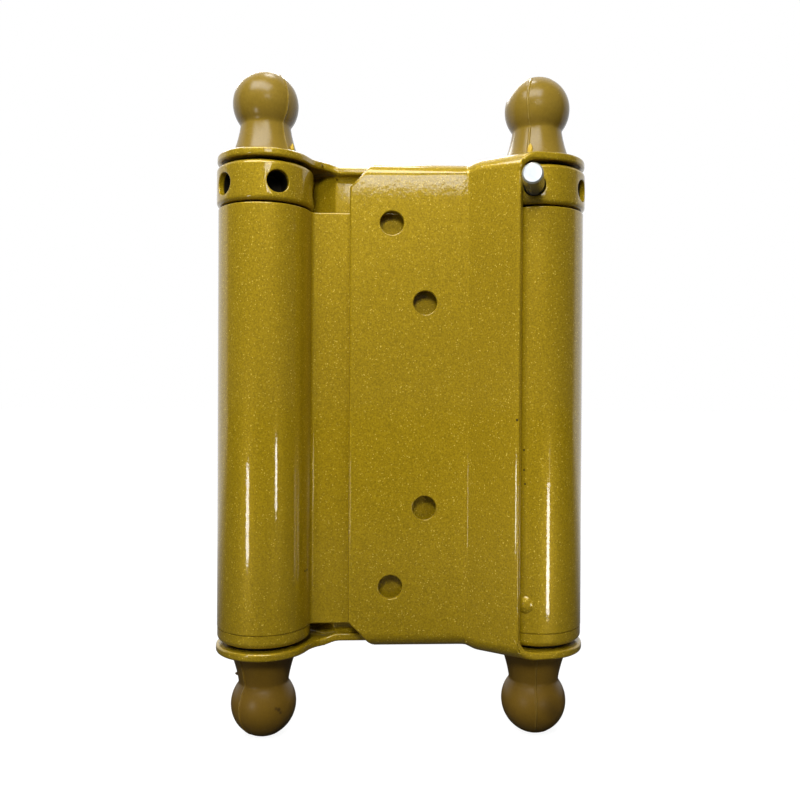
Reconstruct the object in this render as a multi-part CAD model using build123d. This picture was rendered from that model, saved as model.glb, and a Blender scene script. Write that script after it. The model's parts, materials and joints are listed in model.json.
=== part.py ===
from build123d import *
import os
from math import asin, atan2, cos, degrees, radians, sin, sqrt

# Double action spring hinge for a cafe door. Millimetres, +Z up along the barrels.
# The origin is the centre of the hinge: half way between the barrel axes and half way up.
# The hinge looks the same after half a turn about Z, so each piece is made for the right-hand
# barrel, which carries the front leaf, and turned half round for the left-hand one.

# Overall layout. RUNNING and SEATED are the radial gaps of turning and of fixed fits.
AXIS_SPACING = 56.0
LEAF_HEIGHT = 100.0
SHEET = 1.6
RUNNING = 0.05
SEATED = 0.05

# Barrel sheet: two tubes and the web between them, rolled from one strip
BARREL_OD = 19.0
WEB_BEND_INSIDE = 1.0
SEAM_GAP = 0.8

# Tension collar, over the barrel's top
COLLAR_STEP = 0.3
COLLAR_HEIGHT = 7.85
COLLAR_GAP = 0.4
COLLAR_EDGE = 0.9
COLLAR_SPIGOT = 1.8
COLLAR_HUB = 3.0
COLLAR_HUB_WALL = 1.15
TOMMY_HOLES = 5
TOMMY_HOLE_DIA = 4.4
TOMMY_HOLE_DROP = 4.15
TOMMY_FLOOR_WALL = 1.35

# Bottom cap
CAP_INSET = 0.05
CAP_RIM = 2.65
CAP_EDGE = 1.1
CAP_PLUG = 9.0

# Anchor rivet through barrel and cap
RIVET_RISE = 5.7
RIVET_AZIMUTH = -23.0
RIVET_HEAD_DIA = 3.4
RIVET_HEAD_HEIGHT = 0.6
RIVET_SHANK_DIA = 2.2
RIVET_SHANK_LENGTH = 3.0

# Tension pin
PIN_DIA = 4.0
PIN_STANDOUT = 8.3
PIN_CHAMFER = 0.3
PIN_TOUCH = 0.05
PIN_END_GAP = 0.1

# Spindle and washers
SPINDLE_DIA = 6.0
SPINDLE_STANDOUT = 7.0
SPINDLE_CHAMFER = 0.6
WASHER_OD = 15.0
WASHER_THICKNESS = 0.65

# Torsion spring: its wire fills the room between the collar's hub and the barrel
COIL_BARREL_GAP = 0.7
COIL_HUB_GAP = 0.2
COIL_TURN_GAP = 2.2
SPRING_LEG = 1.5
SPRING_GAP = 0.1

# Leaf: flat, flank, ears and lips pressed from one sheet, with places measured from its barrel's axis
FLAT_STANDOFF = 4.2
FREE_END_REACH = 38.7
CREASE_REACH = 14.7
JOGGLE_STEP = 0.8
JOGGLE_START_REACH = 15.8
JOGGLE_END_REACH = 11.2
BEND_OUTSIDE = 3.0
FLANK_LENGTH = 11.25
FLANK_GAP = 0.4
EAR_INSET = 0.1
EAR_ROOT_RADIUS = 6.0
EAR_CORNER_RADIUS = 2.4
LIP = 0.8
CORNER_CUT = 6.0
CORNER_CUT_ALONG = 6.2
SCREW_HOLE_DIA = 4.8
OUTER_HOLE_SPACING = 73.5
OUTER_HOLE_REACH = 30.2
INNER_HOLE_SPACING = 41.5
INNER_HOLE_REACH = 23.4

# Finial
FINIAL_BASE_DIA = 14.0
FINIAL_NECK_DIA = 10.2
FINIAL_FLARE = 0.25
BALL_DIA = 13.4
BALL_CENTRE_RISE = 11.2
SOCKET_END_GAP = 0.4

# The stack of pieces between the ears, each worked out from its neighbour
axis_x = AXIS_SPACING / 2
axis_point = Vector(axis_x, 0)
ear_top = LEAF_HEIGHT / 2
ear_under = ear_top - SHEET
washer_room = WASHER_THICKNESS + SEATED * 2
collar_top = ear_under - washer_room
collar_bottom = collar_top - COLLAR_HEIGHT
tommy_height = collar_top - TOMMY_HOLE_DROP
barrel_top = collar_bottom - COLLAR_GAP
spigot_bottom = barrel_top - COLLAR_SPIGOT
cap_bottom = washer_room - ear_under
barrel_bottom = cap_bottom + CAP_RIM
plug_top = barrel_bottom + CAP_PLUG
rivet_height = barrel_bottom + RIVET_RISE
spindle_top = ear_top + SPINDLE_STANDOUT

# Radii, from the spindle out to the ears
spindle_r = SPINDLE_DIA / 2
bore_r = spindle_r + RUNNING
hub_r = bore_r + COLLAR_HUB_WALL
tommy_floor = bore_r + TOMMY_FLOOR_WALL
barrel_r = BARREL_OD / 2
barrel_inside_r = barrel_r - SHEET
wire_r = (barrel_inside_r - COIL_BARREL_GAP - COIL_HUB_GAP - hub_r) / 2
coil_r = hub_r + COIL_HUB_GAP + wire_r
collar_r = barrel_r + COLLAR_STEP
ear_r = collar_r - EAR_INSET

# The coil stands between the cap's plug and the collar's spigot
coil_pitch = wire_r * 2 + COIL_TURN_GAP
coil_low = plug_top + SPRING_GAP + wire_r
coil_high = spigot_bottom - SPRING_GAP - wire_r
coil_turns = (coil_high - coil_low) / coil_pitch

# The leaf's flat is level and its flank's inner face runs FLANK_GAP clear of the collar
flange_top = ear_top - JOGGLE_STEP
free_corner = Vector(axis_x - FREE_END_REACH, -FLAT_STANDOFF)
crease_point = Vector(axis_x - CREASE_REACH, -FLAT_STANDOFF)
crease_away = axis_point - crease_point
flank_clear = collar_r + FLANK_GAP + SHEET
flank_slope = degrees(atan2(crease_away.Y, crease_away.X) - asin(flank_clear / crease_away.length))
flank_run = Vector(1, 0).rotate(Axis.Z, flank_slope)
flank_in = Vector(0, 1).rotate(Axis.Z, flank_slope)
flank_end = crease_point + flank_run * FLANK_LENGTH
flank_end_inside = flank_end + flank_in * SHEET

# The pin rests against the inner corner of the flank's end
corner_away = flank_end_inside - axis_point
corner_azimuth = degrees(atan2(corner_away.X, -corner_away.Y))
pin_azimuth = corner_azimuth + degrees(asin((PIN_DIA / 2 + PIN_TOUCH) / corner_away.length))

# Longer than any piece, for cuts that go right through
far = LEAF_HEIGHT


def half_turn(shape):
    """The same piece on the other barrel."""
    return shape.rotate(Axis.Z, 180)


def block(face, low, high):
    """A plan face raised from one height to another."""
    return extrude(Pos(0, 0, low) * face, high - low)


def disc(radius, low, high):
    """An upright disc on the right-hand axis."""
    return block(Pos(axis_x, 0) * Circle(radius), low, high)


def on_axis_point(azimuth, radius):
    """A point round the right-hand axis, azimuth from -Y towards +X."""
    return axis_point + Vector(0, -radius).rotate(Axis.Z, azimuth)


def outwards(shape, azimuth, radius, height):
    """Lays a piece made along Z so that it points outwards from the right-hand axis."""
    place = on_axis_point(azimuth, radius)
    return Pos(place.X, place.Y, height) * Rot(0, 0, azimuth) * Rot(90, 0, 0) * shape


def rod(diameter, length):
    """A round bar from the origin up along Z."""
    return Cylinder(diameter / 2, length, align=(Align.CENTER, Align.CENTER, Align.MIN))


def leaf_plan():
    """Outline of flat, flank, ear and lip seen from above."""
    reach = flank_end - axis_point
    swing = atan2(reach.Y, reach.X) + atan2(sqrt(reach.length**2 - ear_r**2), ear_r)
    front_touch = axis_point + Vector(ear_r, 0).rotate(Axis.Z, degrees(swing))
    root_rise = EAR_ROOT_RADIUS - LIP
    root_reach = ear_r + EAR_ROOT_RADIUS
    root_centre = axis_point + Vector(-sqrt(root_reach**2 - root_rise**2), root_rise)
    back_touch = axis_point + (root_centre - axis_point) * (ear_r / root_reach)
    lip_touch = Vector(root_centre.X, -LIP)
    root_way = ((back_touch + lip_touch) / 2 - root_centre).normalized()
    lip_end = Vector(free_corner.X, -LIP)
    edges = [
        Line(free_corner, crease_point),
        Line(crease_point, flank_end),
        Line(flank_end, front_touch),
        ThreePointArc(front_touch, axis_point + Vector(ear_r, 0), back_touch),
        ThreePointArc(back_touch, root_centre + root_way * EAR_ROOT_RADIUS, lip_touch),
        Line(lip_touch, lip_end),
        Line(lip_end, free_corner),
    ]
    return make_face(edges)


def hollow_plan():
    """Everything behind the sheet's inner face seen from above."""
    inside_way = (Vector(0, 1) + flank_in) / (1 + flank_in.Y)
    corners = [
        Vector(-far, SHEET - FLAT_STANDOFF),
        crease_point + inside_way * SHEET,
        flank_end_inside + flank_run * far,
        Vector(far * 2, far),
        Vector(-far, far),
    ]
    return make_face(Polyline(*corners, close=True))


def height_band(inset):
    """Front view of the leaf's height, with the joggle from lip height to ear height."""
    low, high = flange_top - inset, ear_top - inset
    begin, finish = axis_x - JOGGLE_START_REACH, axis_x - JOGGLE_END_REACH
    middle = (begin + finish) / 2
    edges = [
        Line((-far, -low), (-far, low)),
        Line((far, -high), (far, high)),
    ]
    for side in (-1, 1):
        start, end = (begin, side * low), (finish, side * high)
        edges.append(Line((-far, side * low), start))
        edges.append(Bezier(start, (middle, side * low), (middle, side * high), end))
        edges.append(Line(end, (far, side * high)))
    return extrude(Plane.XZ * make_face(edges), far * 2, both=True)


def bend_edges(shape, offset):
    """The top and bottom edges over the flat's and the flank's face, offset into the sheet."""
    chosen = []
    for edge in shape.edges():
        middle = edge.position_at(0.5)
        from_crease = Vector(middle.X, middle.Y) - crease_point
        on_flat = abs(from_crease.Y - offset) < 0.01 and middle.X < crease_point.X
        on_flank = abs(from_crease.dot(flank_in) - offset) < 0.01 and from_crease.dot(flank_run) > 0
        upright = abs((edge @ 0).Z - (edge @ 1).Z) > SHEET
        if (on_flat or on_flank) and not upright:
            chosen.append(edge)
    return chosen


def flank_trim():
    """Everything past the flank's end, with the corners under the ears left rounded."""
    trim = Pos(far / 2, 0, 0) * Box(far, far, ear_under * 2)
    corners = trim.edges().filter_by(Axis.Y).group_by(Axis.X)[0]
    trim = fillet(corners, EAR_CORNER_RADIUS)
    return Pos(flank_end.X, flank_end.Y) * Rot(0, 0, flank_slope) * trim


def corner_cutter():
    """What is sheared off the free end's upper corner, following the sheet round its bend."""
    mid_radius = BEND_OUTSIDE - SHEET / 2
    lip_straight = FLAT_STANDOFF - LIP - BEND_OUTSIDE
    bend_length = radians(90) * mid_radius
    flat_length = CORNER_CUT_ALONG - bend_length - lip_straight
    bend_y, bend_z = BEND_OUTSIDE - FLAT_STANDOFF, flange_top - BEND_OUTSIDE
    half = SHEET * 0.75

    def section(along, y, z, turn):
        left = free_corner.X - CORNER_CUT
        right = free_corner.X + CORNER_CUT * along / CORNER_CUT_ALONG
        out_y, out_z = -half * cos(radians(turn)), half * sin(radians(turn))
        corners = [
            (left, y + out_y, z + out_z),
            (right, y + out_y, z + out_z),
            (right, y - out_y, z - out_z),
            (left, y - out_y, z - out_z),
        ]
        return make_face(Polyline(*corners, close=True))

    sections = [section(-SHEET, bend_y - mid_radius, bend_z - flat_length - SHEET, 0)]
    for turn in (0, 30, 60, 90):
        y = bend_y - mid_radius * cos(radians(turn))
        z = bend_z + mid_radius * sin(radians(turn))
        sections.append(section(flat_length + radians(turn) * mid_radius, y, z, turn))
    past = lip_straight + SHEET
    sections.append(section(flat_length + bend_length + past, bend_y + past, bend_z + mid_radius, 90))
    return loft(sections, ruled=True)


def leaf():
    """The front leaf: flat, flank, ears and lips are one pressed sheet."""
    outside = block(leaf_plan(), -ear_top, ear_top) & height_band(0)
    inside = block(hollow_plan(), -ear_under, ear_under) & height_band(SHEET)
    outside = fillet(bend_edges(outside, 0), BEND_OUTSIDE)
    inside = fillet(bend_edges(inside, SHEET), BEND_OUTSIDE - SHEET)
    sheet = outside - inside - flank_trim()
    cutter = corner_cutter()
    sheet = sheet - cutter - mirror(cutter, Plane.XY)
    sheet = sheet - disc(spindle_r + SEATED, -far, far)
    pairs = ((OUTER_HOLE_REACH, OUTER_HOLE_SPACING), (INNER_HOLE_REACH, INNER_HOLE_SPACING))
    for hole_reach, spacing in pairs:
        for z in (-spacing / 2, spacing / 2):
            sheet = sheet - Pos(axis_x - hole_reach, 0, z) * Rot(90, 0, 0) * rod(SCREW_HOLE_DIA, far)
    return sheet


def strip_sector(centre, radius, start, sweep):
    """Plan face of the strip where it is curved round a centre."""
    outer = CenterArc(centre, radius + SHEET / 2, start, sweep)
    inner = CenterArc(centre, radius - SHEET / 2, start, sweep)
    return make_face([outer, inner, Line(outer @ 0, inner @ 0), Line(outer @ 1, inner @ 1)])


def barrel_sheet():
    """Both barrels and the web between them, rolled from one strip."""
    roll = barrel_r - SHEET / 2
    bend = WEB_BEND_INSIDE + SHEET / 2
    bend_x = axis_x - sqrt((roll + bend) ** 2 - bend**2)
    lean = degrees(atan2(bend, axis_x - bend_x))
    seam = degrees(asin((SHEET / 2 + SEAM_GAP) / barrel_r))
    tube = strip_sector((axis_x, 0), roll, seam - 180, 360 - seam - lean)
    turn = strip_sector((bend_x, bend), bend, -90, 90 - lean)
    web = Pos(bend_x / 2, 0) * Rectangle(bend_x, SHEET)
    half = Part() + [block(face, barrel_bottom, barrel_top) for face in (tube, turn, web)]
    rivet_hole = rod(RIVET_SHANK_DIA + SEATED * 2, SHEET * 3)
    half = half - outwards(rivet_hole, RIVET_AZIMUTH, barrel_r - SHEET * 1.5, rivet_height)
    return half + half_turn(half)


def bottom_cap():
    """Plug in the foot of a barrel, with the spindle's bore and the spring's lower seat."""
    rim = disc(barrel_r - CAP_INSET, cap_bottom, barrel_bottom)
    rim = fillet(rim.edges().sort_by(Axis.Z)[0], CAP_EDGE)
    cap = rim + disc(barrel_inside_r - SEATED, barrel_bottom, plug_top)
    cap = cap - disc(bore_r, -far, far)
    rivet_hole = rod(RIVET_SHANK_DIA + SEATED * 2, far)
    hole_floor = barrel_r - RIVET_SHANK_LENGTH - SEATED
    cap = cap - outwards(rivet_hole, RIVET_AZIMUTH, hole_floor, rivet_height)
    return cap - spring_leg(plug_top - SPRING_LEG, 0, 0, SEATED)


def anchor_rivet():
    """Domed rivet that holds the cap in the barrel."""
    head_r = RIVET_HEAD_DIA / 2
    dome_r = (head_r**2 + RIVET_HEAD_HEIGHT**2) / (2 * RIVET_HEAD_HEIGHT)
    dome = Pos(0, 0, RIVET_HEAD_HEIGHT - dome_r) * Sphere(dome_r)
    head = dome & Pos(0, 0, -RIVET_HEAD_HEIGHT) * rod(RIVET_HEAD_DIA, RIVET_HEAD_DIA)
    head = outwards(head, RIVET_AZIMUTH, barrel_r, rivet_height) - disc(barrel_r, -far, far)
    shank = rod(RIVET_SHANK_DIA, RIVET_SHANK_LENGTH + RIVET_HEAD_HEIGHT / 2)
    return head + outwards(shank, RIVET_AZIMUTH, barrel_r - RIVET_SHANK_LENGTH, rivet_height)


def spring_leg(low, high, turns, gap):
    """Straight upright end of the wire, this many turns along the coil."""
    place = on_axis_point(turns * 360, coil_r)
    return Pos(place.X, place.Y) * block(Circle(wire_r + gap), low, high)


def torsion_spring():
    """Helical spring between the cap and the tension collar, with one upright leg in each."""
    path = Helix(coil_pitch, coil_high - coil_low, coil_r)
    wire = sweep(Plane(path @ 0, z_dir=path % 0) * Circle(wire_r), path, is_frenet=True)
    wire = Pos(axis_x, 0, coil_low) * Rot(0, 0, -90) * wire
    foot = spring_leg(plug_top - SPRING_LEG, coil_low, 0, 0)
    head = spring_leg(coil_high, spigot_bottom + SPRING_LEG, coil_turns, 0)
    return wire + foot + head


def tension_collar():
    """Collar that winds the spring, with a ring of tommy-bar holes and a spigot in the barrel."""
    ring = disc(collar_r, collar_bottom, collar_top)
    ring = fillet(ring.edges().filter_by(GeomType.CIRCLE), COLLAR_EDGE)
    collar = ring + disc(barrel_inside_r - RUNNING, spigot_bottom, collar_bottom)
    collar = collar + disc(hub_r, spigot_bottom - COLLAR_HUB, spigot_bottom)
    collar = collar - disc(bore_r, -far, far)
    for number in range(TOMMY_HOLES):
        azimuth = pin_azimuth + number * 360 / TOMMY_HOLES
        drill = rod(TOMMY_HOLE_DIA, far)
        collar = collar - outwards(drill, azimuth, tommy_floor, tommy_height)
    return collar - spring_leg(0, spigot_bottom + SPRING_LEG + SPRING_GAP, coil_turns, SEATED)


def tension_pin():
    """Loose pin in a collar hole, which bears on the end of the leaf's flank."""
    start = tommy_floor + PIN_END_GAP
    pin = rod(PIN_DIA, collar_r + PIN_STANDOUT - start)
    pin = chamfer(pin.edges().filter_by(GeomType.CIRCLE), PIN_CHAMFER)
    return outwards(pin, pin_azimuth, start, tommy_height)


def spindle():
    """Plain rod through ears, washers, collar, spring and cap."""
    bar = disc(spindle_r, -spindle_top, spindle_top)
    return chamfer(bar.edges().filter_by(GeomType.CIRCLE), SPINDLE_CHAMFER)


def washer(low, high):
    """Thin bearing washer between an ear and the end of the barrel."""
    ring = disc(WASHER_OD / 2, low + SEATED, high - SEATED)
    return ring - disc(spindle_r + SEATED, -far, far)


def finial():
    """Moulded ball on a flared neck, pushed on the top of the spindle."""
    base_r, neck_r, ball_r = FINIAL_BASE_DIA / 2, FINIAL_NECK_DIA / 2, BALL_DIA / 2
    neck_top = BALL_CENTRE_RISE - sqrt(ball_r**2 - neck_r**2)
    ball_top = BALL_CENTRE_RISE + ball_r
    profile = [
        Line((0, 0), (base_r, 0)),
        ThreePointArc((base_r, 0), ((base_r + neck_r) / 2 - FINIAL_FLARE, neck_top / 2), (neck_r, neck_top)),
        ThreePointArc((neck_r, neck_top), (ball_r, BALL_CENTRE_RISE), (0, ball_top)),
        Line((0, ball_top), (0, 0)),
    ]
    ball = revolve(Plane.XZ * make_face(profile), Axis.Z)
    socket_depth = SPINDLE_STANDOUT + SOCKET_END_GAP
    ball = ball - Pos(0, 0, -SHEET) * rod(SPINDLE_DIA + SEATED * 2, socket_depth + SHEET)
    return Pos(axis_x, 0, ear_top) * ball


pieces = {"barrel_sheet": barrel_sheet()}
for side, hand in (("right", lambda shape: shape), ("left", half_turn)):
    top_finial = finial()
    pieces[f"bottom_cap_{side}"] = hand(bottom_cap())
    pieces[f"anchor_rivet_{side}"] = hand(anchor_rivet())
    pieces[f"torsion_spring_{side}"] = hand(torsion_spring())
    pieces[f"tension_collar_{side}"] = hand(tension_collar())
    pieces[f"tension_pin_{side}"] = hand(tension_pin())
    pieces[f"spindle_{side}"] = hand(spindle())
    pieces[f"washer_top_{side}"] = hand(washer(collar_top, ear_under))
    pieces[f"washer_bottom_{side}"] = hand(washer(-ear_under, cap_bottom))
    pieces[f"finial_top_{side}"] = hand(top_finial)
    pieces[f"finial_bottom_{side}"] = hand(mirror(top_finial, Plane.XY))
pieces["leaf_front"] = leaf()
pieces["leaf_rear"] = half_turn(leaf())

os.makedirs("parts", exist_ok=True)
for name, piece in pieces.items():
    export_step(piece, f"parts/{name}.step")
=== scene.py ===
import json
import math

import bmesh
import bpy
from mathutils import Matrix, Vector, noise
from mathutils.bvhtree import BVHTree

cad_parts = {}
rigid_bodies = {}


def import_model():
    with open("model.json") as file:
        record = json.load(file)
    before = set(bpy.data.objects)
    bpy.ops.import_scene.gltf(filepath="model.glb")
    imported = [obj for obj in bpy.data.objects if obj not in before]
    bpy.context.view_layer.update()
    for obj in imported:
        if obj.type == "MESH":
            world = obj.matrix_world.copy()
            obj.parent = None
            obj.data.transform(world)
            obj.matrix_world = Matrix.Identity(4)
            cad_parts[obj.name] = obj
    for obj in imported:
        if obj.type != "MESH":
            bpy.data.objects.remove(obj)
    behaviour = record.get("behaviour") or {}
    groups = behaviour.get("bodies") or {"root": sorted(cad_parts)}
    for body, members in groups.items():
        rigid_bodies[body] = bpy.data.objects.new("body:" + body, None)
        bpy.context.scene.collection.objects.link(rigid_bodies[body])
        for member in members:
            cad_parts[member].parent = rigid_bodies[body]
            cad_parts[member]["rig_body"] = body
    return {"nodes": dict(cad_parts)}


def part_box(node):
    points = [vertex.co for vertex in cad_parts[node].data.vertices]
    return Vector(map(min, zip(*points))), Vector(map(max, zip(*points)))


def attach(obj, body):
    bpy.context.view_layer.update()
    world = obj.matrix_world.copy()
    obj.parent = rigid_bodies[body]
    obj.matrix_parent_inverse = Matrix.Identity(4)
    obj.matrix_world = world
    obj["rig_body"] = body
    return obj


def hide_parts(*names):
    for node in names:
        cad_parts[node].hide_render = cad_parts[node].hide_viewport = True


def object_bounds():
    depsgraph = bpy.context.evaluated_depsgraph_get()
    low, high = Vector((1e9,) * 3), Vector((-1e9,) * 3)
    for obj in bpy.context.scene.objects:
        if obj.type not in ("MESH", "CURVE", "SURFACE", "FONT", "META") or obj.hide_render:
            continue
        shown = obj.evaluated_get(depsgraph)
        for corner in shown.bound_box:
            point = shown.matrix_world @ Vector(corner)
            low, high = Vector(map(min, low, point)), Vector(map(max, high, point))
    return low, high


# Looks of the double action cafe hinge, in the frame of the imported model: +Z up along the
# barrels, -Y towards the camera. Blender works in metres. Lengths are written in millimetres
# and are multiplied by MM where they are used. Angles are in degrees.

MM = 0.001
SIDES = ("right", "left")

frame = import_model()
cad_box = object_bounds()
nodes = frame["nodes"]


# Objects


def add_object(name, data):
    obj = bpy.data.objects.new(name, data)
    bpy.context.scene.collection.objects.link(obj)
    return obj


def smooth_object(name, shape, *materials):
    """A smooth-shaded object made from a bmesh, which is freed."""
    mesh = bpy.data.meshes.new(name)
    shape.to_mesh(mesh)
    shape.free()
    for polygon in mesh.polygons:
        polygon.use_smooth = True
    for material in materials:
        mesh.materials.append(material)
    return add_object(name, mesh)


# Material nodes. A value given to these helpers is a plain number or colour, or another node's
# output, and each helper returns the output that it makes.

MIX_COLOUR_INPUTS = (0, 6, 7)
MIX_COLOUR_RESULT = 2
MIX_NUMBER_INPUTS = (0, 2, 3)

# A spot of full strength starts to fade at this share of its size
FADE_START = 0.5


def new_material(name):
    material = bpy.data.materials.new(name)
    material.use_nodes = True
    tree = material.node_tree
    return material, tree, tree.nodes["Principled BSDF"]


def set_finish(shader, finish):
    """Plain values, the same all over the surface, set on the shader's own inputs."""
    for label, value in finish.items():
        shader.inputs[label].default_value = value


def add_node(tree, kind, **values):
    """A node with its inputs set by label and its other properties by name."""
    node = tree.nodes.new(kind)
    for key, value in values.items():
        if key in node.inputs:
            node.inputs[key].default_value = value
        else:
            setattr(node, key, value)
    return node


def feed(tree, target, value):
    """Links an output to an input, or sets the input to a plain value."""
    if isinstance(value, bpy.types.NodeSocket):
        tree.links.new(value, target)
    elif target.type == "RGBA":
        target.default_value = (*value, 1)
    else:
        target.default_value = value


def operate(tree, kind, operation, values):
    node = add_node(tree, kind, operation=operation)
    for target, value in zip(node.inputs, values):
        feed(tree, target, value)
    return node


def number(tree, operation, *values):
    """A number worked out from numbers."""
    return operate(tree, "ShaderNodeMath", operation, values).outputs["Value"]


def vector(tree, operation, *values):
    """A vector worked out from vectors."""
    return operate(tree, "ShaderNodeVectorMath", operation, values).outputs["Vector"]


def measure(tree, operation, *values):
    """A number worked out from vectors."""
    return operate(tree, "ShaderNodeVectorMath", operation, values).outputs["Value"]


def coordinates(tree, kind="Object"):
    return tree.nodes.new("ShaderNodeTexCoord").outputs[kind]


def geometry(tree, kind):
    return tree.nodes.new("ShaderNodeNewGeometry").outputs[kind]


def noise_texture(tree, place, scale, detail=2.0):
    """Soft noise, with this many features to the metre."""
    node = add_node(tree, "ShaderNodeTexNoise", Scale=scale, Detail=detail)
    feed(tree, node.inputs["Vector"], place)
    return node.outputs["Fac"]


def ramp(tree, source, low, high, at_low, at_high):
    """A colour that goes from at_low to at_high while the source goes from low to high."""
    node = tree.nodes.new("ShaderNodeValToRGB")
    elements = node.color_ramp.elements
    elements[0].position = low
    elements[0].color = (*at_low, 1)
    elements[1].position = high
    elements[1].color = (*at_high, 1)
    feed(tree, node.inputs["Fac"], source)
    return node.outputs["Color"]


def map_range(tree, source, low, high, at_low, at_high):
    """A number that goes from at_low to at_high while the source goes from low to high."""
    node = tree.nodes.new("ShaderNodeMapRange")
    labels = ("From Min", "From Max", "To Min", "To Max")
    for label, value in zip(labels, (low, high, at_low, at_high)):
        node.inputs[label].default_value = value
    feed(tree, node.inputs["Value"], source)
    return node.outputs["Result"]


def mix_colour(tree, factor, a, b, blend="MIX"):
    node = add_node(tree, "ShaderNodeMix", data_type="RGBA", blend_type=blend)
    for index, value in zip(MIX_COLOUR_INPUTS, (factor, a, b)):
        feed(tree, node.inputs[index], value)
    return node.outputs[MIX_COLOUR_RESULT]


def tint(tree, colour, by):
    """A colour multiplied by another."""
    return mix_colour(tree, 1.0, colour, by, "MULTIPLY")


def grey(level):
    return (level, level, level)


def bump(tree, height, strength, depth):
    """A surface normal pushed about by a height; depth in millimetres."""
    node = add_node(tree, "ShaderNodeBump", Strength=strength, Distance=depth * MM)
    feed(tree, node.inputs["Height"], height)
    return node.outputs["Normal"]


def near_point(tree, place, point, size, strength):
    """This strength at a point of the object, fading to 0 at the distance size."""
    away = measure(tree, "DISTANCE", place, tuple(c * MM for c in point))
    fade_start = size * FADE_START * strength
    return map_range(tree, away, fade_start * MM, size * MM, strength, 0.0)


def with_spots(tree, place, colour, spots, spot_colour):
    """Marks on the surface, each (point, size, strength)."""
    for point, size, strength in spots:
        here = near_point(tree, place, point, size, strength)
        colour = mix_colour(tree, here, colour, spot_colour)
    return colour


# Gold paint: a metallic base coat with fine flakes under a thick clear coat with orange peel

PAINT_GOLD = (0.400, 0.268, 0.0070)
PAINT_SHADE = (0.350, 0.232, 0.0045)
PAINT_CHIP = (0.030, 0.022, 0.010)
BARE_AND_SHADE_DARK = (0.012, 0.010, 0.006)
CLOUD_SCALE = 55.0
PAINT_FINISH = {
    "Metallic": 0.40,
    "Roughness": 0.44,
    "Specular IOR Level": 0.2,
    "Coat Weight": 1.0,
    "Coat Roughness": 0.05,
    "Coat IOR": 1.5,
}

# A few flakes, those above FLAKE_BRIGHT_FROM in a random 0 to 1, catch the light
FLAKE_SIZE = 0.19
FLAKE_TILT = 0.14
FLAKE_LIGHT = (0.66, 0.48, 0.06)
FLAKE_BRIGHT_FROM = 0.960
GRAIN_DARK = (0.80, 0.80, 0.76)

MOTTLE_SCALE, MOTTLE_DETAIL = 3000.0, 3.0
MOTTLE_RANGE = (0.34, 0.66)
MOTTLE_DARK = (0.80, 0.79, 0.72)
MOTTLE_LIGHT = (1.12, 1.12, 1.14)

PEEL_SCALE, PEEL_DETAIL = 1100.0, 5.0
PEEL_STRENGTH, PEEL_DEPTH = 0.60, 0.02

# The collars' tommy-bar holes lose their coat from this depth below the rim and turn near black:
# painted shade, over the bare unpainted inside
HOLE_SHADE_DEPTH = 0.9
HOLE_SHADE_FADE = 0.35


def flakes(tree, place, base):
    """Each flake's own random colour, and the base colour with the flakes in it."""
    cells = add_node(tree, "ShaderNodeTexVoronoi", Scale=1 / (FLAKE_SIZE * MM))
    feed(tree, cells.inputs["Vector"], place)
    chance = tree.nodes.new("ShaderNodeSeparateColor")
    feed(tree, chance.inputs["Color"], cells.outputs["Color"])
    grain = ramp(tree, chance.outputs["Green"], 0.0, 1.0, GRAIN_DARK, grey(1))
    mottle = noise_texture(tree, place, MOTTLE_SCALE, MOTTLE_DETAIL)
    shade = ramp(tree, mottle, *MOTTLE_RANGE, MOTTLE_DARK, MOTTLE_LIGHT)
    grained = tint(tree, tint(tree, base, grain), shade)
    bright = ramp(tree, chance.outputs["Red"], FLAKE_BRIGHT_FROM, 1.0, grey(0), grey(1))
    return cells.outputs["Color"], mix_colour(tree, bright, grained, FLAKE_LIGHT)


def flake_normal(tree, chance):
    """A normal that leans by a little, each flake its own way."""
    lean = vector(tree, "SUBTRACT", chance, grey(0.5))
    lean = vector(tree, "MULTIPLY", lean, grey(FLAKE_TILT))
    return vector(tree, "NORMALIZE", vector(tree, "ADD", geometry(tree, "Normal"), lean))


def deep_in_holes(tree, place, axis_x, radius):
    """1 further in than a radius about an upright axis, 0 outside it."""
    flat = vector(tree, "MULTIPLY_ADD", place, (1, 1, 0), (-axis_x * MM, 0, 0))
    reach = measure(tree, "LENGTH", flat)
    return map_range(tree, reach, (radius - HOLE_SHADE_FADE) * MM, radius * MM, 1.0, 0.0)


def gold_paint(name="gold_paint", spots=(), hole_axis=None, hole_radius=0.0):
    material, tree, shader = new_material(name)
    set_finish(shader, PAINT_FINISH)
    place = coordinates(tree)
    cloud = noise_texture(tree, place, CLOUD_SCALE)
    tone = mix_colour(tree, cloud, PAINT_SHADE, PAINT_GOLD)
    chance, colour = flakes(tree, place, tone)
    colour = with_spots(tree, place, colour, spots, PAINT_CHIP)
    if hole_axis is not None:
        deep = deep_in_holes(tree, place, hole_axis, hole_radius)
        # Painted shade: near black deep in the collars' holes, where the paint is also missing
        colour = mix_colour(tree, deep, colour, BARE_AND_SHADE_DARK)
        feed(tree, shader.inputs["Coat Weight"], number(tree, "SUBTRACT", 1.0, deep))
    peel = noise_texture(tree, place, PEEL_SCALE, PEEL_DETAIL)
    feed(tree, shader.inputs["Base Color"], colour)
    feed(tree, shader.inputs["Normal"], flake_normal(tree, chance))
    feed(tree, shader.inputs["Coat Normal"], bump(tree, peel, PEEL_STRENGTH, PEEL_DEPTH))
    return material


# Moulded plastic of the finials, and raw plastic where flash was torn off

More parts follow.
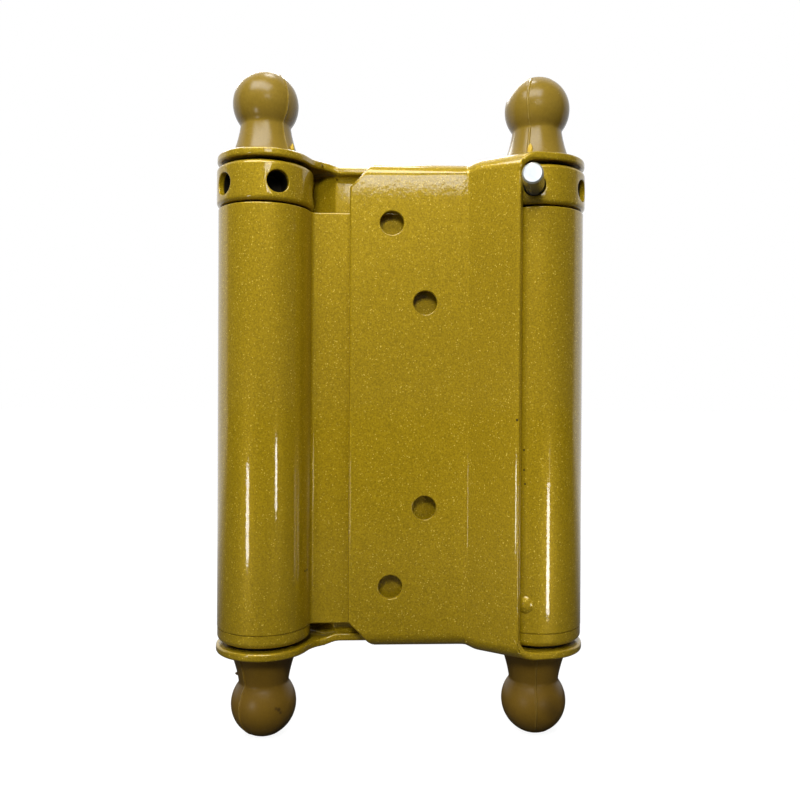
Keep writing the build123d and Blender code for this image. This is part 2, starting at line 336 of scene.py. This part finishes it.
PLASTIC_TAN = (0.225, 0.148, 0.020)
PLASTIC_DARK = (0.160, 0.102, 0.010)
PLASTIC_MARK = (0.050, 0.028, 0.006)
PLASTIC_CLOUD_SCALE, PLASTIC_CLOUD_DETAIL = 140.0, 5.0
PLASTIC_GRAIN_SCALE = 2600.0
PLASTIC_GRAIN_DARK = (0.88, 0.88, 0.86)
PLASTIC_GRAIN_BUMP, PLASTIC_GRAIN_DEPTH = 0.12, 0.02
PLASTIC_ROUGHER = 0.10
PLASTIC_FINISH = {"Specular IOR Level": 0.30}
TORN_SCALE, TORN_DETAIL = 3200.0, 3.0
TORN_BUMP, TORN_DEPTH = 0.5, 0.05
TORN_FINISH = {"Roughness": 0.5}

# Noise stays mostly between these two, so ramps over it start and end there
NOISE_RANGE = (0.3, 0.7)


def moulded_plastic(name, spots=(), low=PLASTIC_DARK, high=PLASTIC_TAN, roughness=0.20):
    material, tree, shader = new_material(name)
    set_finish(shader, PLASTIC_FINISH)
    place = coordinates(tree)
    cloud = noise_texture(tree, place, PLASTIC_CLOUD_SCALE, PLASTIC_CLOUD_DETAIL)
    tone = mix_colour(tree, cloud, low, high)
    fine = noise_texture(tree, place, PLASTIC_GRAIN_SCALE)
    grain = ramp(tree, fine, *NOISE_RANGE, PLASTIC_GRAIN_DARK, grey(1))
    colour = with_spots(tree, place, tint(tree, tone, grain), spots, PLASTIC_MARK)
    normal = bump(tree, fine, PLASTIC_GRAIN_BUMP, PLASTIC_GRAIN_DEPTH)
    rough = ramp(tree, cloud, *NOISE_RANGE, grey(roughness), grey(roughness + PLASTIC_ROUGHER))
    feed(tree, shader.inputs["Base Color"], colour)
    feed(tree, shader.inputs["Normal"], normal)
    feed(tree, shader.inputs["Roughness"], rough)
    return material


def torn_plastic(name, low, high):
    """Raw plastic, rougher than the moulded skin."""
    material, tree, shader = new_material(name)
    set_finish(shader, TORN_FINISH)
    fine = noise_texture(tree, coordinates(tree), TORN_SCALE, TORN_DETAIL)
    feed(tree, shader.inputs["Base Color"], mix_colour(tree, fine, low, high))
    feed(tree, shader.inputs["Normal"], bump(tree, fine, TORN_BUMP, TORN_DEPTH))
    return material


# Metals

# Azimuth of the pins' axes from -Y towards +X; their cut ends face along it
PIN_AXIS_AZIMUTH = -14.58
# The ends are paler than the shank by which way the surface faces: partly bare steel, partly
# painted highlight, with painted shade on the shank
PIN_END_BARE_AND_LIT = (0.66, 0.68, 0.70)
PIN_END_WORN = (0.40, 0.44, 0.50)
PIN_SHANK_PLATED_AND_SHADED = (0.42, 0.42, 0.36)
PIN_SHANK_WORN = (0.24, 0.24, 0.20)
PIN_END_FROM, PIN_END_TO = 0.80, 0.92
SHANK_METAL, END_METAL = 0.45, 0.30
ZINC_SCALE, ZINC_DETAIL = 900.0, 4.0
ZINC_BUMP, ZINC_DEPTH = 0.2, 0.02
ZINC_FINISH = {"Roughness": 0.22}
STEEL_SCALE, STEEL_DETAIL = 400.0, 3.0
STEEL_SHADE = 0.6
STEEL_ROUGHER = 0.15
STEEL_FINISH = {"Metallic": 1.0}


def zinc_steel():
    """Bright cut ends and a darker olive passivated shank: partly bare cut steel and plating,
    partly a painted highlight on the ends and painted shade on the shank.
    """
    material, tree, shader = new_material("zinc_steel")
    set_finish(shader, ZINC_FINISH)
    cloud = noise_texture(tree, coordinates(tree), ZINC_SCALE, ZINC_DETAIL)
    turn = math.radians(PIN_AXIS_AZIMUTH)
    pin_axis = (math.sin(turn), -math.cos(turn), 0)
    facing = measure(tree, "DOT_PRODUCT", coordinates(tree, "Normal"), pin_axis)
    facing = number(tree, "ABSOLUTE", facing)
    end = ramp(tree, facing, PIN_END_FROM, PIN_END_TO, grey(0), grey(1))
    lit_end_colour = mix_colour(tree, cloud, PIN_END_WORN, PIN_END_BARE_AND_LIT)
    shaded_shank_colour = mix_colour(tree, cloud, PIN_SHANK_WORN, PIN_SHANK_PLATED_AND_SHADED)
    metal = ramp(tree, end, 0.0, 1.0, grey(SHANK_METAL), grey(END_METAL))
    feed(tree, shader.inputs["Base Color"], mix_colour(tree, end, shaded_shank_colour, lit_end_colour))
    feed(tree, shader.inputs["Normal"], bump(tree, cloud, ZINC_BUMP, ZINC_DEPTH))
    feed(tree, shader.inputs["Metallic"], metal)
    return material


def plain_steel(name, colour, roughness):
    material, tree, shader = new_material(name)
    set_finish(shader, STEEL_FINISH)
    cloud = noise_texture(tree, coordinates(tree), STEEL_SCALE, STEEL_DETAIL)
    darker = tuple(c * STEEL_SHADE for c in colour)
    rough = ramp(tree, cloud, *NOISE_RANGE, grey(roughness), grey(roughness + STEEL_ROUGHER))
    feed(tree, shader.inputs["Base Color"], mix_colour(tree, cloud, darker, colour))
    feed(tree, shader.inputs["Roughness"], rough)
    return material


PAINT = gold_paint()
PLASTIC = moulded_plastic("moulded_plastic")
ZINC = zinc_steel()
STEEL = plain_steel("plain_steel", (0.42, 0.41, 0.39), 0.35)
# Painted shade: the washers are near black because the gaps between the ears and the collars,
# where they sit, lie in shade
WASHER_SHADE_DARK = plain_steel("washer_steel_shade_dark", (0.030, 0.028, 0.024), 0.60)
SPRING = plain_steel("spring_steel", (0.12, 0.12, 0.13), 0.40)


def paint_node(name, material):
    """Gives a CAD node, whose shape is shown as it is, its material."""
    mesh = nodes[name].data
    mesh.materials.clear()
    mesh.materials.append(material)


def paint_plain_nodes():
    for side in SIDES:
        paint_node(f"bottom_cap_{side}", PAINT)
        paint_node(f"anchor_rivet_{side}", PAINT)
        paint_node(f"tension_pin_{side}", ZINC)
        paint_node(f"torsion_spring_{side}", SPRING)
        paint_node(f"spindle_{side}", STEEL)
        paint_node(f"washer_top_{side}", WASHER_SHADE_DARK)
        paint_node(f"washer_bottom_{side}", WASHER_SHADE_DARK)


# Pressed and rolled sheet: the paint rounds its edges

LEAF_ROUNDING, BARREL_ROUNDING, COLLAR_ROUNDING = 0.48, 0.30, 0.22
HOLE_ROUNDING, CREASE_ROUNDING = 0.22, 0.25
ROUNDING_SEGMENTS = 4

# Kinds of edge, rounded in this order: a crease turns by less than CREASE_ANGLE, and what
# turns by less than SHARP_ANGLE is left as it is
OUTLINE, HOLE_RIM, CREASE = 1, 2, 3
SHARP_ANGLE, CREASE_ANGLE = 25, 50
SHORTEST_EDGE = 0.16
FLAT_ANGLE = 1.0

# A rounded point that is further from the sheet than this share of the rounding, or that
# stands out from it by more than STRAY_RISE, is drawn back between its neighbours. Rounds
# after ROUNDS_OFF_SURFACE put it on the sheet's surface.
STRAY_SHARE = 0.42
STRAY_RISE = 0.02
SETTLING_ROUNDS, ROUNDS_OFF_SURFACE = 12, 9
NORMAL_WEIGHT = 50

# (x, height) of a leaf's screw holes; the other leaf has them turned half round
SCREW_HOLES = ((2.2, 36.75), (-4.6, 20.75))
HOLE_RIM_REACH = 2.7

# Chips in the paint: (point, size, strength)
LEAF_CHIPS = (
    ((22.20, -10.34, -2.66), 0.30, 1.0),
    ((22.6, -9.9, -6.2), 0.22, 1.0),
)
BARREL_CHIPS = (
    ((-19.04, -3.11, -33.45), 0.40, 1.0),
    ((-19.37, -3.95, -33.46), 0.34, 1.0),
    ((23.97, -8.60, -8.64), 0.26, 1.0),
    ((24.00, -8.61, -12.60), 0.22, 1.0),
    ((24.20, -8.70, -15.36), 0.24, 1.0),
)


def by_screw_hole(point):
    """Whether a point of a leaf is on the rim of one of its screw holes."""
    for x, height in SCREW_HOLES:
        for hand in (1, -1):
            across = point.x / MM - hand * x
            if math.hypot(across, abs(point.z) / MM - height) < HOLE_RIM_REACH:
                return True
    return False


def edge_kind(edge, has_holes):
    """Which kind of edge this is, or 0 if it isn't rounded."""
    if len(edge.link_faces) != 2 or edge.calc_face_angle() < math.radians(SHARP_ANGLE):
        return 0
    if edge.calc_face_angle() < math.radians(CREASE_ANGLE):
        return CREASE
    middle = (edge.verts[0].co + edge.verts[1].co) / 2
    return HOLE_RIM if has_holes and by_screw_hole(middle) else OUTLINE


def settle(shape, sheet, limit):
    """Draws corners that left the sheet's surface back between their neighbours."""
    strays = set()
    for vert in shape.verts:
        place, normal, _, away = sheet.find_nearest(vert.co)
        if away > limit or (vert.co - place).dot(normal) > STRAY_RISE * MM:
            strays.add(vert)
    for turn in range(SETTLING_ROUNDS):
        moved = set()
        for vert in strays:
            near = [edge.other_vert(vert) for edge in vert.link_edges]
            near = [other for other in near if other not in strays]
            if near:
                middle = sum((other.co for other in near), Vector()) / len(near)
                on_surface = turn >= ROUNDS_OFF_SURFACE
                vert.co = sheet.find_nearest(middle)[0] if on_surface else middle
                moved.add(vert)
        strays -= moved
        if not strays:
            break


def rounded_copy(name, width, material, hole_width=None):
    """The CAD node with its sharp edges rounded, standing for the node."""
    shape = bmesh.new()
    shape.from_mesh(nodes[name].data)
    body = nodes[name]["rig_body"]
    bmesh.ops.remove_doubles(shape, verts=shape.verts, dist=SHORTEST_EDGE * MM)
    flat = math.radians(FLAT_ANGLE)
    bmesh.ops.dissolve_limit(shape, angle_limit=flat, verts=shape.verts, edges=shape.edges)
    sheet = BVHTree.FromBMesh(shape)
    kinds = shape.edges.layers.int.new("kind")
    for edge in shape.edges:
        edge[kinds] = edge_kind(edge, hole_width is not None)
    for kind, size in ((OUTLINE, width), (HOLE_RIM, hole_width), (CREASE, CREASE_ROUNDING)):
        edges = [edge for edge in shape.edges if edge[kinds] == kind]
        if edges:
            bmesh.ops.bevel(
                shape,
                geom=edges,
                offset=size * MM,
                offset_type="OFFSET",
                segments=ROUNDING_SEGMENTS,
                profile=0.5,
                affect="EDGES",
                clamp_overlap=False,
            )
            settle(shape, sheet, max(size, width) * MM * STRAY_SHARE)
    obj = smooth_object(name + "_painted", shape, material)
    even = obj.modifiers.new("even_normals", "WEIGHTED_NORMAL")
    even.weight = NORMAL_WEIGHT
    even.keep_sharp = True
    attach(obj, body)
    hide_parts(name)


def painted_collar(side):
    name = f"tension_collar_{side}"
    low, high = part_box(name)
    axis_x = (low.x + high.x) / 2 / MM
    radius = (high.y - low.y) / 2 / MM
    paint = gold_paint(f"gold_paint_collar_{side}", (), axis_x, radius - HOLE_SHADE_DEPTH)
    rounded_copy(name, COLLAR_ROUNDING, paint)


def painted_sheets():
    leaf_paint = gold_paint("gold_paint_chipped", LEAF_CHIPS)
    barrel_paint = gold_paint("gold_paint_marked", BARREL_CHIPS)
    rounded_copy("leaf_front", LEAF_ROUNDING, leaf_paint, HOLE_ROUNDING)
    rounded_copy("leaf_rear", LEAF_ROUNDING, PAINT, HOLE_ROUNDING)
    rounded_copy("barrel_sheet", BARREL_ROUNDING, barrel_paint)
    for side in SIDES:
        painted_collar(side)


# Moulded finials, each with its parting lines and the flash left on them. Radii are from the
# finial's axis, and rises from its foot, which is on the ear.

NECK_BASE, NECK_TOP, BALL = 7.0, 5.1, 6.7
NECK_FLARE = 0.25
BALL_RISE = 11.2
SOCKET_RADIUS, SOCKET_DEPTH = 3.05, 7.4
SOCKET_MOUTH_WIDER, SOCKET_MOUTH_DEPTH = 0.2, 0.25
JUNCTION = BALL_RISE - math.sqrt(BALL**2 - NECK_TOP**2)
NECK_STEPS, BALL_STEPS, PLAIN_TURNS = 14, 34, 72

# The foot's rounded edge and the fillet between neck and ball: (inset or outset, rise)
FOOT_EDGE = ((0.25, 0.0), (0.05, 0.12))
NECK_FILLET = ((0.04, -0.16), (0.11, 0.0))
BALL_START_PAST_NECK = 0.05

# The seam stands out in a ridge, and one half of the moulding is a little smaller. All is
# drawn in by SKIN_INSET, and fades at the tip, so that the CAD box holds it.
SEAM_RISE, SEAM_HALF_WIDTH, HALVES_STEP = 0.19, 0.18, 0.07
HALVES_STEP_OVER = 2
SKIN_INSET = 0.02
TIP_FADE = 1.2
OUTSIDE_RADIUS, OUTSIDE_RISE = SOCKET_RADIUS + 0.5, 0.05

# The ridge's height is this level and waves along it, each (size, pace)
SEAM_LEVEL = 0.75
SEAM_WAVES = ((0.25, 2.3), (0.15, 7.1))

# Close angles at a parting line, and which faces there are the seam's
SEAM_CLOSE_STEP, SEAM_CLOSE_COUNT, SEAM_CLEAR = 0.55, 9, 6
SEAM_FACE_REACH, HALF_FACE_TURN = 0.7, 0.3

# (darker, paler) colours of the seams of the top and the bottom finials; the bottom ones are
# darker as painted shade
SEAM_PALE = ((0.24, 0.165, 0.03), (0.34, 0.24, 0.05))
SEAM_SHADED = ((0.16, 0.10, 0.015), (0.23, 0.15, 0.03))


def neck_radius(share):
    """Radius of the flared neck at this share of its height."""
    return NECK_BASE + (NECK_TOP - NECK_BASE) * share - 4 * NECK_FLARE * share * (1 - share)


def finial_profile():
    """(radius, rise) from the socket round the foot, up the neck and over the ball."""
    points = [(SOCKET_RADIUS, SOCKET_DEPTH), (SOCKET_RADIUS, SOCKET_MOUTH_DEPTH)]
    points.append((SOCKET_RADIUS + SOCKET_MOUTH_WIDER, 0.0))
    points += [(NECK_BASE - inset, rise) for inset, rise in FOOT_EDGE]
    for k in range(1, NECK_STEPS):
        share = k / NECK_STEPS
        points.append((neck_radius(share), JUNCTION * share))
    points += [(NECK_TOP + outset, JUNCTION + rise) for outset, rise in NECK_FILLET]
    start = math.asin((JUNCTION - BALL_RISE) / BALL) + BALL_START_PAST_NECK
    for k in range(BALL_STEPS):
        angle = start + (math.pi / 2 - start) * k / BALL_STEPS
        points.append((BALL * math.cos(angle), BALL_RISE + BALL * math.sin(angle)))
    return points


def seam_angles(seam):
    """Angles about the axis, close together at the two parting lines."""
    angles = {round(k * 360 / PLAIN_TURNS, 3) for k in range(PLAIN_TURNS)}
    close = [k * SEAM_CLOSE_STEP for k in range(-SEAM_CLOSE_COUNT, SEAM_CLOSE_COUNT + 1)]
    for side in (0, 180):
        middle = (seam + side) % 360
        angles = {a for a in angles if min(abs(a - middle), 360 - abs(a - middle)) > SEAM_CLEAR}
        angles |= {round((middle + c) % 360, 3) for c in close}
    return sorted(angles)


def seam_push(angle, seam, radius, rise, rough):
    """How far the surface stands out here; rough shifts the seam's uneven height."""
    push = 0.0
    waves = sum(size * math.sin(rise * pace + rough) for size, pace in SEAM_WAVES)
    for side in (0, 180):
        off = (angle - seam - side + 180) % 360 - 180
        along = math.radians(off) * radius
        ridge = math.exp(-((along / SEAM_HALF_WIDTH) ** 2))
        push += SEAM_RISE * (SEAM_LEVEL + waves) * ridge
    off = (angle - seam + 180) % 360 - 180
    if off > 0:
        push -= HALVES_STEP * min(1.0, off / HALVES_STEP_OVER, (180 - off) / HALVES_STEP_OVER)
    top_fade = min(1.0, (BALL_RISE + BALL - rise) / TIP_FADE)
    return push * top_fade - SKIN_INSET


def finial_place(name):
    """The finial's axis in x, the height of its foot, and +1 where it points up or -1."""
    low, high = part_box(name)
    upward = 1 if high.z > 0 else -1
    foot = low.z if upward > 0 else high.z
    return (low.x + high.x) / 2, foot, upward


def finial(name, seam, rough, material, seam_material):
    """A finial with its parting line at this angle, standing for its node."""
    axis_x, foot, upward = finial_place(name)
    body = nodes[name]["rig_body"]
    angles = seam_angles(seam)
    count = len(angles)
    shape = bmesh.new()
    rings = []
    for radius, rise in finial_profile():
        outside = radius > OUTSIDE_RADIUS and rise > OUTSIDE_RISE
        ring = []
        for angle in angles:
            push = seam_push(angle, seam, radius, rise, rough) if outside else 0.0
            reach = (radius + push) * MM
            x = axis_x + reach * math.sin(math.radians(angle))
            y = -reach * math.cos(math.radians(angle))
            ring.append(shape.verts.new((x, y, foot + upward * rise * MM)))
        rings.append(ring)
    for inner, outer in zip(rings, rings[1:]):
        for k in range(count):
            after = (k + 1) % count
            face = shape.faces.new((inner[k], inner[after], outer[after], outer[k]))
            from_seam = (angles[k] + HALF_FACE_TURN - seam) % 180
            if min(from_seam, 180 - from_seam) < SEAM_FACE_REACH:
                face.material_index = 1
    for ring, rise in ((rings[0], SOCKET_DEPTH), (rings[-1], BALL_RISE + BALL - SKIN_INSET)):
        tip = shape.verts.new((axis_x, 0, foot + upward * rise * MM))
        for k in range(count):
            shape.faces.new((ring[k], ring[(k + 1) % count], tip))
    bmesh.ops.recalc_face_normals(shape, faces=shape.faces)
    obj = smooth_object(name + "_moulded", shape, material, seam_material)
    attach(obj, body)
    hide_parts(name)


# A scrap of flash is a ball of this fineness with lumps of this size and pace
NUB_FINENESS = 3
NUB_LUMP, NUB_LUMP_PACE = 0.45, 1.7

# (darker, paler) colours of the scraps
TORN_YELLOW = ((0.36, 0.22, 0.015), (0.62, 0.42, 0.03))
TORN_DARK = ((0.07, 0.04, 0.01), (0.16, 0.10, 0.02))


def flash_nub(name, finial_name, angle, rise, size, material):
    """A torn scrap of flash at a parting line; size is outwards, round and up."""
    axis_x, foot, upward = finial_place(finial_name)
    turn = math.radians(angle)
    outwards = Vector((math.sin(turn), -math.cos(turn), 0))
    round_about = Vector((math.cos(turn), math.sin(turn), 0))
    centre = Vector((axis_x, 0, foot + upward * rise * MM))
    centre += outwards * neck_radius(min(1.0, rise / JUNCTION)) * MM
    shape = bmesh.new()
    bmesh.ops.create_icosphere(shape, subdivisions=NUB_FINENESS, radius=1.0)
    for vert in shape.verts:
        out, across, up = (c * s for c, s in zip(vert.co, size))
        spot = vert.co * NUB_LUMP_PACE + Vector((angle, rise, 0))
        lump = 1 + NUB_LUMP * noise.noise(spot)
        reach = outwards * out + round_about * across + Vector((0, 0, up))
        vert.co = centre + MM * lump * reach
    obj = smooth_object(name, shape, material)
    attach(obj, nodes[finial_name]["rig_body"])


# Bottom finials: darker, which is painted shade, rougher, and marked with smudges, as (point,
# size, strength)
FINIAL_MARKS = (
    ((-24.29, -5.56, -60.83), 0.55, 0.9),
    ((-24.9, -5.7, -60.5), 0.45, 0.7),
    ((-24.0, -5.3, -61.5), 0.45, 0.8),
    ((30.0, -6.2, -60.6), 2.6, 0.45),
    ((31.0, -5.6, -62.0), 2.0, 0.35),
)
# Painted shade: the bottom finials' plastic, a darker copy of the top finials' colours
BOTTOM_SHADE_DARK = (0.120, 0.066, 0.006)
BOTTOM_SHADE_TAN = (0.170, 0.097, 0.010)
MARKED_ROUGHNESS = 0.34


def moulded_finials():
    marked_and_shaded = moulded_plastic(
        "moulded_plastic_marked_and_shaded", FINIAL_MARKS, BOTTOM_SHADE_DARK, BOTTOM_SHADE_TAN, MARKED_ROUGHNESS
    )
    pale = moulded_plastic("seam_pale", (), *SEAM_PALE)
    shaded_seam = moulded_plastic("seam_shaded", (), *SEAM_SHADED)
    finial("finial_top_left", 48, 0.0, PLASTIC, pale)
    finial("finial_top_right", -28, 1.7, PLASTIC, pale)
    finial("finial_bottom_left", -40, 3.1, marked_and_shaded, shaded_seam)
    finial("finial_bottom_right", -7, 4.4, marked_and_shaded, shaded_seam)


def flash():
    yellow = torn_plastic("torn_plastic_yellow", *TORN_YELLOW)
    dark = torn_plastic("torn_plastic_dark", *TORN_DARK)
    flash_nub("flash_top_left", "finial_top_left", 62, 1.5, (0.34, 0.40, 1.05), yellow)
    flash_nub("flash_top_right", "finial_top_right", -24, 1.4, (0.34, 0.50, 1.25), yellow)
    flash_nub("flash_bottom_left", "finial_bottom_left", -84, 5.2, (0.42, 0.30, 0.30), dark)


# Camera. The photograph is 800 pixels wide, and the lens is given in its pixels. The camera
# stands close. It turns right by the yaw, up by the pitch and then rolls to its left.

PHOTO_WIDTH = 800
CAMERA_FOCAL_PX = 780.6
CAMERA_PLACE = (-7.2, -161.55, 2.4)
CAMERA_YAW = 2.47
CAMERA_PITCH = -0.48
CAMERA_ROLL = 0.30
SENSOR_WIDTH = 36.0
CLIP_NEAR, CLIP_FAR = 5, 50000


def set_camera():
    yaw, pitch, roll = (math.radians(a) for a in (CAMERA_YAW, CAMERA_PITCH, CAMERA_ROLL))
    level = math.cos(pitch)
    forward = Vector((math.sin(yaw) * level, math.cos(yaw) * level, math.sin(pitch)))
    level_right = Vector((math.cos(yaw), -math.sin(yaw), 0))
    level_up = level_right.cross(forward)
    right = level_right * math.cos(roll) + level_up * math.sin(roll)
    up = level_up * math.cos(roll) - level_right * math.sin(roll)
    data = bpy.data.cameras.new("camera")
    data.sensor_width = SENSOR_WIDTH
    data.lens = CAMERA_FOCAL_PX * SENSOR_WIDTH / PHOTO_WIDTH
    data.clip_start = CLIP_NEAR * MM
    data.clip_end = CLIP_FAR * MM
    camera = add_object("camera", data)
    turn = Matrix((right, up, -forward)).transposed().to_4x4()
    camera.matrix_world = Matrix.Translation(Vector(CAMERA_PLACE) * MM) @ turn
    bpy.context.scene.camera = camera


# Stage and light

FLOOR_DROP = 0.1
FLOOR_HALF_WIDTH = 3000
FLOOR_TO_LIGHT, FLOOR_TO_CAMERA = grey(0.05), grey(0.16)
FLOOR_FINISH = {
    "Roughness": 0.9,
    "Specular IOR Level": 0.0,
    "Emission Color": (1, 1, 1, 1),
}
GLOW_NEAR, GLOW_FAR = 0.93, 1.00
GLOW_NEAR_REACH, GLOW_FAR_REACH = 120, 600
SKY_LEVEL = 0.09
BEHIND_FROM, BEHIND_TO = 0.03, 0.22


def seen_white(tree, place):
    """1 for camera rays, and for glossy and transmission rays where place is behind (+Y).

    The place is a point of the floor in metres, or the sky's direction.
    """
    rays = tree.nodes.new("ShaderNodeLightPath").outputs
    axes = tree.nodes.new("ShaderNodeSeparateXYZ")
    feed(tree, axes.inputs["Vector"], place)
    behind = map_range(tree, axes.outputs["Y"], BEHIND_FROM, BEHIND_TO, 0.0, 1.0)
    bounced = number(tree, "MAXIMUM", rays["Is Glossy Ray"], rays["Is Transmission Ray"])
    bounced = number(tree, "MULTIPLY", bounced, behind)
    return number(tree, "MAXIMUM", rays["Is Camera Ray"], bounced)


def floor_material():
    material, tree, shader = new_material("floor")
    set_finish(shader, FLOOR_FINISH)
    rays = tree.nodes.new("ShaderNodeLightPath").outputs
    pale = mix_colour(tree, rays["Is Camera Ray"], FLOOR_TO_LIGHT, FLOOR_TO_CAMERA)
    place = geometry(tree, "Position")
    near, far = GLOW_NEAR_REACH * MM, GLOW_FAR_REACH * MM
    glow = map_range(tree, measure(tree, "LENGTH", place), near, far, GLOW_NEAR, GLOW_FAR)
    glow = number(tree, "MULTIPLY", glow, seen_white(tree, place))
    feed(tree, shader.inputs["Base Color"], pale)
    feed(tree, shader.inputs["Emission Strength"], glow)
    return material


def stage():
    """A pale floor at the object's foot, which glows to white for the camera."""
    height = cad_box[0][2] - FLOOR_DROP * MM
    half = FLOOR_HALF_WIDTH * MM
    mesh = bpy.data.meshes.new("floor")
    corners = [(-half, -half), (half, -half), (half, half), (-half, half)]
    mesh.from_pydata([(x, y, height) for x, y in corners], [], [(0, 1, 2, 3)])
    mesh.materials.append(floor_material())
    floor = add_object("floor", mesh)


def sky():
    """A dim even room; white where the camera sees it and in reflections of what lies behind."""
    world = bpy.data.worlds.new("studio")
    bpy.context.scene.world = world
    world.use_nodes = True
    tree = world.node_tree
    background = tree.nodes["Background"]
    level = tree.nodes.new("ShaderNodeMix")
    white = seen_white(tree, coordinates(tree, "Generated"))
    for index, value in zip(MIX_NUMBER_INPUTS, (white, SKY_LEVEL, 1.0)):
        feed(tree, level.inputs[index], value)
    feed(tree, background.inputs["Strength"], level.outputs[0])
    background.inputs["Color"].default_value = (1, 1, 1, 1)


def area_light(name, place, aim, size, power, mirrored=True, beam=180):
    """A rectangular lamp of this power in watts, turned from its place towards its aim."""
    data = bpy.data.lights.new(name, "AREA")
    data.shape = "RECTANGLE"
    data.size = size[0] * MM
    data.size_y = size[1] * MM
    data.energy = power
    data.spread = math.radians(beam)
    light = add_object(name, data)
    away = Vector(place) - Vector(aim)
    light.location = Vector(place) * MM
    light.rotation_euler = away.to_track_quat("Z", "Y").to_euler()
    light.visible_camera = False
    light.visible_glossy = mirrored


def lights():
    """Soft panels for the whole, and narrow lamps for the streaks along the barrels."""
    area_light("panel_top", (-60, -140, 230), (0, -10, 20), (240, 110), 0.74)
    area_light("panel_front", (-30, -240, 120), (0, 0, 30), (60, 50), 0.56, mirrored=False)
    area_light("panel_over", (-10, 45, 300), (0, 0, 50), (60, 44), 0.12)
    area_light("panel_brow", (9, -170, 100), (0, -13, 45), (52, 24), 0.028)
    area_light("panel_back", (-120, 420, 420), (-10, 0, 60), (320, 240), 2.0)
    area_light("lamp_left", (-129, -154, -48), (-30, -9, -22), (22, 40), 0.042)
    area_light("lamp_right", (104, -195, -38), (-28, -9, -16), (20, 34), 0.00070, beam=25)
    area_light("lamp_low", (63, -95, -46), (30, -9, -24), (12, 40), 0.00160, beam=44)


paint_plain_nodes()
painted_sheets()
moulded_finials()
flash()
set_camera()
stage()
sky()
lights()
bpy.context.scene.view_settings.view_transform = "Standard"
